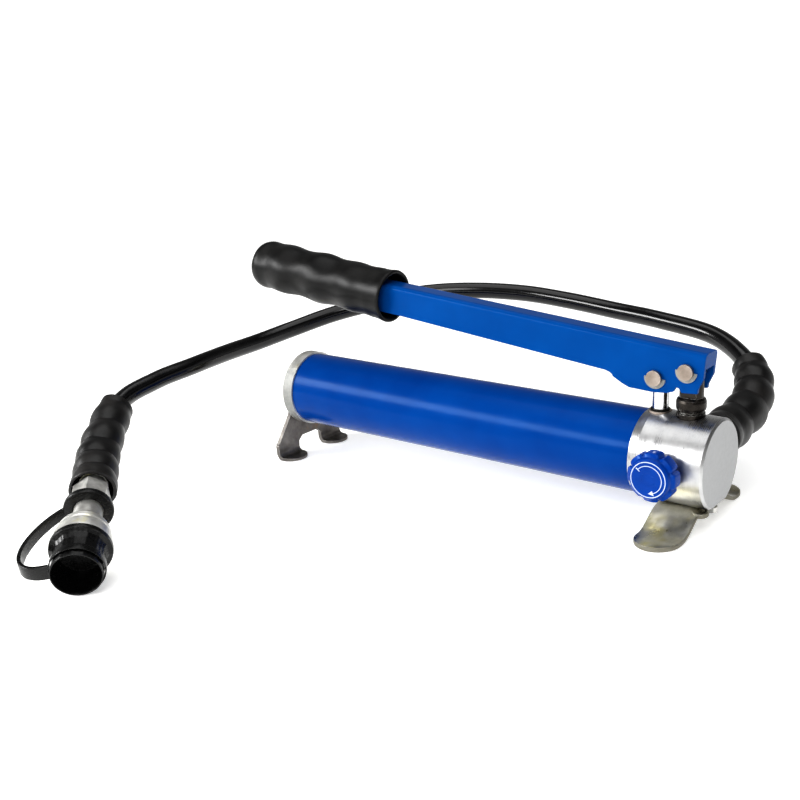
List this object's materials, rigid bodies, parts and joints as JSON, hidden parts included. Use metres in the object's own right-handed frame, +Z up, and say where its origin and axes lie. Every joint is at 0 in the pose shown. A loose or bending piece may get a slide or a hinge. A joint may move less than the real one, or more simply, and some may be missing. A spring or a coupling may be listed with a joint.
{
  "type": "hydraulic hand pump",
  "caption": "Single-acting hydraulic hand pump with a tube reservoir, steel head, gripped lever, release knob, feet, and a hose ending in a capped quick coupler.",
  "frame": {"origin": "on the floor, under the middle of the pump without its hose", "axes": "+X from the lever's grip to the head, +Y to the side that the hose leaves, +Z up"},
  "size_m": [0.4137, 0.4676, 0.1636],
  "materials": {
    "blue_paint": "gloss blue paint",
    "lever_paint": "gloss blue paint, a little brighter than the tube",
    "head_steel": "bright turned and plated steel",
    "zinc": "zinc plate with a faint yellow-green tint",
    "yellow_zinc": "yellow passivated pressed steel",
    "dark_steel": "dark grey pressed steel",
    "black_oxide": "blackened steel",
    "chrome_rod": "hard chromed rod",
    "steel": "plain steel",
    "brass": "brass",
    "seal_rubber": "black nitrile rubber",
    "seal_plastic": "ochre polyurethane seal",
    "grip_rubber": "semi-gloss black moulded rubber",
    "hose_black": "glossy black thermoplastic hose cover",
    "sleeve_rubber": "matt black ribbed rubber",
    "knob_blue": "saturated blue plastic",
    "knob_white": "pale printed ring",
    "cap_black": "glossy black soft plastic"
  },
  "bodies": {
    "pump": {"pump_head": "head_steel", "reservoir_tube": "blue_paint", "rear_cap": "zinc", "tank_seals": "seal_rubber", "tie_rod": "steel", "tie_rod_nut": "zinc", "filler_plug": "yellow_zinc", "suction_strainer": "brass", "discharge_spring": "steel", "discharge_plug": "black_oxide", "relief_spring": "steel", "relief_screw": "black_oxide", "front_foot": "yellow_zinc", "foot_screws": "zinc", "rear_bracket": "dark_steel", "fulcrum_post": "black_oxide", "plunger_gland": "steel", "rod_wiper": "seal_rubber", "plunger_seal": "seal_plastic", "release_gland": "zinc", "release_ball": "steel", "outlet_adapter": "zinc", "pump_ferrule": "zinc", "pump_sleeve": "sleeve_rubber", "hose": "hose_black", "coupler_sleeve": "sleeve_rubber", "coupler_ferrule": "zinc", "coupler_body": "zinc", "collar_ring": "steel", "poppet_spring": "steel", "cap_strap": "cap_black"},
    "lever": {"lever_channel": "lever_paint", "lever_grip": "grip_rubber", "fulcrum_pin": "zinc", "plunger_pin": "zinc", "pin_clips": "zinc"},
    "plunger": {"pump_plunger": "chrome_rod"},
    "release_spindle": {"release_spindle": "steel"},
    "release_knob": {"release_knob": "knob_blue", "knob_dial": "knob_white"},
    "coupler_collar": {"coupler_collar": "zinc"},
    "coupler_poppet": {"coupler_poppet": "steel"},
    "dust_cap": {"dust_cap": "cap_black"},
    "suction_ball": {"suction_ball": "steel"},
    "discharge_ball": {"discharge_ball": "steel"},
    "relief_ball": {"relief_ball": "steel"}
  },
  "joints": [
    {"name": "lever_swing", "type": "hinge", "parent": "pump", "child": "lever", "pos_m": [0.16944, 0, 0.09641], "axis": [0, 1, 0], "range_deg": [-7, 45]},
    {"name": "plunger_slide", "type": "slide", "parent": "pump", "child": "plunger", "axis": [0.0403, 0, 0.9992], "range_m": [-0.0026, 0.0162]},
    {"name": "spindle_travel", "type": "slide", "parent": "pump", "child": "release_spindle", "axis": [0, -1, 0], "range_m": [0, 0.0015]},
    {"name": "knob_turn", "type": "hinge", "parent": "release_spindle", "child": "release_knob", "pos_m": [0.16122, -0.045, 0.03899], "axis": [0, -1, 0], "range_deg": [0, 362]},
    {"name": "collar_spin", "type": "hinge", "parent": "pump", "child": "coupler_collar", "pos_m": [-0.11742, -0.24128, 0.02533], "axis": [0.683, -0.683, -0.2588], "continuous": true},
    {"name": "poppet_travel", "type": "slide", "parent": "pump", "child": "coupler_poppet", "axis": [-0.683, 0.683, 0.2588], "range_m": [0, 0.0035], "stiffness_N_per_m": 400, "springref_m": -0.004, "deforming": ["poppet_spring"]},
    {"name": "dust_cap_pull", "type": "slide", "parent": "pump", "child": "dust_cap", "axis": [0.683, -0.683, -0.2588], "range_m": [0, 0.008]},
    {"name": "suction_ball_lift", "type": "slide", "parent": "pump", "child": "suction_ball", "axis": [0.0403, 0, 0.9992], "range_m": [0, 0.0015]},
    {"name": "discharge_ball_lift", "type": "slide", "parent": "pump", "child": "discharge_ball", "axis": [-0.0403, 0, -0.9992], "range_m": [0, 0.001], "stiffness_N_per_m": 300, "springref_m": -0.003, "deforming": ["discharge_spring"]},
    {"name": "relief_ball_lift", "type": "slide", "parent": "pump", "child": "relief_ball", "axis": [-0.0403, 0, -0.9992], "range_m": [0, 0.001], "stiffness_N_per_m": 600, "springref_m": -0.003, "deforming": ["relief_spring"]}
  ],
  "couplings": [
    {"joint": "plunger_slide", "follows": "lever_swing", "m_per_rad": 0.0205},
    {"joint": "knob_turn", "follows": "spindle_travel", "rad_per_m": 4188.8}
  ]
}
